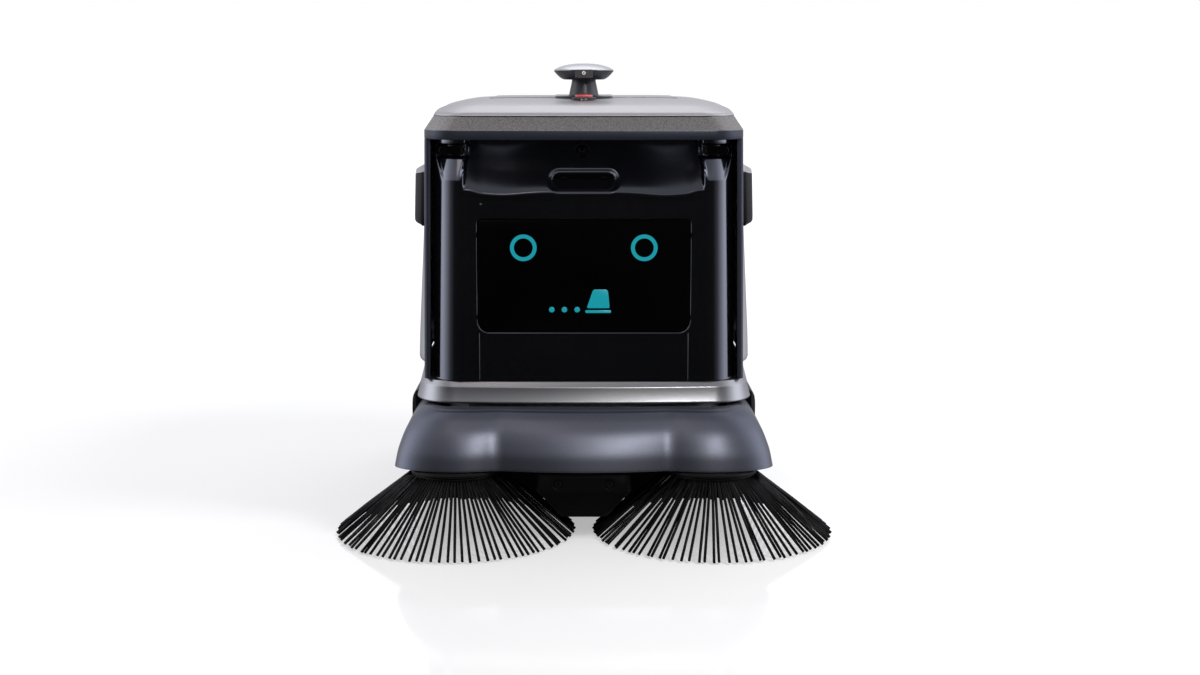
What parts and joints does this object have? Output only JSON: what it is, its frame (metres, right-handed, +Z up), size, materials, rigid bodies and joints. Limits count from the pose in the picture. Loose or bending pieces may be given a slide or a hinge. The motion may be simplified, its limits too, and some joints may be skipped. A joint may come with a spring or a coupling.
{
  "type": "robotic floor cleaner",
  "caption": "Commercial robot floor sweeper with two side brooms, a three-lobed front hood, a main roller, a rear dust drawer, a dark front screen and a scanner turret.",
  "frame": {"origin": "on the floor under the middle of the footprint", "axes": "+Z up, the front of the machine faces -Y, +X is to the right seen from the front"},
  "size_m": [0.8492, 0.8904, 0.798],
  "materials": {
    "steel": "satin",
    "dark_shell": "matte",
    "silver_metal": "satin metallic",
    "light_silver": "satin metallic",
    "black_plastic": "matte",
    "dark_flake": "metallic flake",
    "gloss_black": "piano gloss",
    "sensor_window": "gloss",
    "screen": "gloss",
    "dark_grey": "satin",
    "dark_gloss": "gloss",
    "red_plastic": "gloss",
    "battery_case": "matte",
    "belt_rubber": "matte",
    "bristle": "slightly glossy",
    "skirt_rubber": "matte",
    "slate_metallic": "satin metallic",
    "tyre": "matte",
    "filter": "pleated"
  },
  "bodies": {
    "chassis": {"chassis_frame": "steel", "side_skirt": "dark_shell", "trim_ring": "silver_metal", "side_panel_left": "light_silver", "side_panel_right": "light_silver", "side_vent_left": "black_plastic", "side_vent_right": "black_plastic", "rear_panel": "light_silver", "brow_frame": "dark_flake", "front_fascia": "gloss_black", "corner_sensor_left": "sensor_window", "corner_sensor_right": "sensor_window", "display_panel": "screen", "depth_camera": "sensor_window", "front_camera": "sensor_window", "top_cover": "light_silver", "turret_pedestal": "dark_gloss", "turret_cap": "light_silver", "turret_camera": "dark_grey", "estop_collar": "silver_metal", "side_pod_left": "light_silver", "side_pod_right": "light_silver", "inner_frame": "steel", "battery_pack": "battery_case", "control_box": "dark_grey", "fan_housing": "black_plastic", "roller_housing": "dark_shell", "roller_motor": "steel", "drive_belt": "belt_rubber", "front_skirt": "skirt_rubber", "front_nose": "black_plastic", "brush_motor_left": "steel", "brush_motor_right": "steel", "wheel_bracket_left": "steel", "wheel_bracket_right": "steel", "charge_contacts": "black_plastic"},
    "hood": {"front_hood": "slate_metallic"},
    "brush_left": {"brush_hub_left": "dark_grey", "brush_bristles_left": "bristle"},
    "brush_right": {"brush_hub_right": "dark_grey", "brush_bristles_right": "bristle"},
    "roller": {"main_roller": "bristle"},
    "pulley": {"motor_pulley": "steel"},
    "wheel_left": {"drive_wheel_left": "dark_grey", "tyre_left": "tyre"},
    "wheel_right": {"drive_wheel_right": "dark_grey", "tyre_right": "tyre"},
    "caster_left": {"caster_fork_left": "steel"},
    "caster_right": {"caster_fork_right": "steel"},
    "caster_roll_left": {"caster_wheel_left": "tyre"},
    "caster_roll_right": {"caster_wheel_right": "tyre"},
    "estop_plunger": {"estop_stem": "steel"},
    "estop_knob": {"estop_head": "red_plastic"},
    "hatch": {"top_hatch": "dark_grey"},
    "bin": {"dust_bin": "dark_shell", "dust_filter": "filter"},
    "scanner": {"lidar_rotor": "black_plastic"},
    "fan": {"fan_impeller": "dark_grey"},
    "power": {"power_button": "silver_metal"}
  },
  "joints": [
    {"name": "bumper_press", "type": "slide", "parent": "chassis", "child": "hood", "axis": [0, 1, 0], "range_m": [0, 0.008], "stiffness_N_per_m": 3000, "springref_m": -0.002},
    {"name": "brush_left_spin", "type": "hinge", "parent": "chassis", "child": "brush_left", "pos_m": [-0.22, -0.24, 0.11], "axis": [0, 0, 1], "continuous": true},
    {"name": "brush_right_spin", "type": "hinge", "parent": "chassis", "child": "brush_right", "pos_m": [0.22, -0.24, 0.11], "axis": [0, 0, 1], "continuous": true},
    {"name": "roller_spin", "type": "hinge", "parent": "chassis", "child": "roller", "pos_m": [0, 0.04, 0.052], "axis": [1, 0, 0], "continuous": true},
    {"name": "pulley_spin", "type": "hinge", "parent": "chassis", "child": "pulley", "pos_m": [0, 0.04, 0.16], "axis": [1, 0, 0], "continuous": true},
    {"name": "wheel_left_spin", "type": "hinge", "parent": "chassis", "child": "wheel_left", "pos_m": [-0.25, 0.062, 0.085], "axis": [1, 0, 0], "continuous": true},
    {"name": "wheel_right_spin", "type": "hinge", "parent": "chassis", "child": "wheel_right", "pos_m": [0.25, 0.062, 0.085], "axis": [1, 0, 0], "continuous": true},
    {"name": "caster_left_swivel", "type": "hinge", "parent": "chassis", "child": "caster_left", "pos_m": [-0.22, 0.35, 0.1], "axis": [0, 0, 1], "continuous": true},
    {"name": "caster_right_swivel", "type": "hinge", "parent": "chassis", "child": "caster_right", "pos_m": [0.22, 0.35, 0.1], "axis": [0, 0, 1], "continuous": true},
    {"name": "caster_left_roll", "type": "hinge", "parent": "caster_left", "child": "caster_roll_left", "pos_m": [-0.22, 0.375, 0.038], "axis": [1, 0, 0], "continuous": true},
    {"name": "caster_right_roll", "type": "hinge", "parent": "caster_right", "child": "caster_roll_right", "pos_m": [0.22, 0.375, 0.038], "axis": [1, 0, 0], "continuous": true},
    {"name": "estop_press", "type": "slide", "parent": "chassis", "child": "estop_plunger", "axis": [0, 0, -1], "range_m": [0, 0.003], "stiffness_N_per_m": 800, "springref_m": -0.002},
    {"name": "estop_twist", "type": "hinge", "parent": "estop_plunger", "child": "estop_knob", "pos_m": [0, -0.145, 0.745], "axis": [0, 0, -1], "range_deg": [0, 30]},
    {"name": "hatch_hinge", "type": "hinge", "parent": "chassis", "child": "hatch", "pos_m": [0, 0.332, 0.736], "axis": [-1, 0, 0], "range_deg": [0, 75]},
    {"name": "bin_slide", "type": "slide", "parent": "chassis", "child": "bin", "axis": [0, 1, 0], "range_m": [0, 0.3]},
    {"name": "scanner_spin", "type": "hinge", "parent": "chassis", "child": "scanner", "pos_m": [0, -0.07, 0.78], "axis": [0, 0, 1], "continuous": true},
    {"name": "fan_spin", "type": "hinge", "parent": "chassis", "child": "fan", "pos_m": [0, 0.312, 0.25], "axis": [0, 0, 1], "continuous": true},
    {"name": "power_press", "type": "slide", "parent": "chassis", "child": "power", "axis": [0, -1, 0], "range_m": [0, 0.002], "stiffness_N_per_m": 800, "springref_m": -0.001}
  ],
  "couplings": [
    {"joint": "pulley_spin", "follows": "roller_spin", "ratio": 1.6667}
  ]
}
